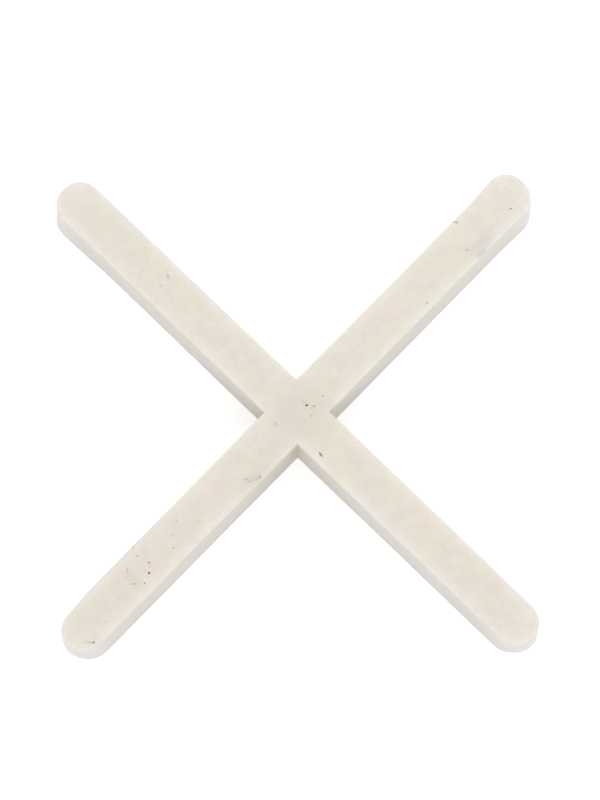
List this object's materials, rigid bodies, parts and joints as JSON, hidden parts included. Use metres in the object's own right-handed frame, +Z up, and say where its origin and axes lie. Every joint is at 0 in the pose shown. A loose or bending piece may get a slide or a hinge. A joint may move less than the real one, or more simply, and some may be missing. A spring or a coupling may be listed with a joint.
{
  "type": "tile spacer",
  "caption": "Cross-shaped tile spacer moulded in one piece, with equal round-ended arms and slightly drafted sides, that sets an even joint where tile corners meet.",
  "frame": {"origin": "centre of the base, where the arms cross", "axes": "+Z up from the base to the top face; the arms lie along +X, -X, +Y and -Y"},
  "size_m": [0.0414, 0.0414, 0.005],
  "materials": {
    "moulded_plastic": "matte off-white moulded polyethylene or polypropylene with a fine grain and dust specks"
  },
  "bodies": {
    "root": {"cross_spacer": "moulded_plastic"}
  },
  "joints": []
}
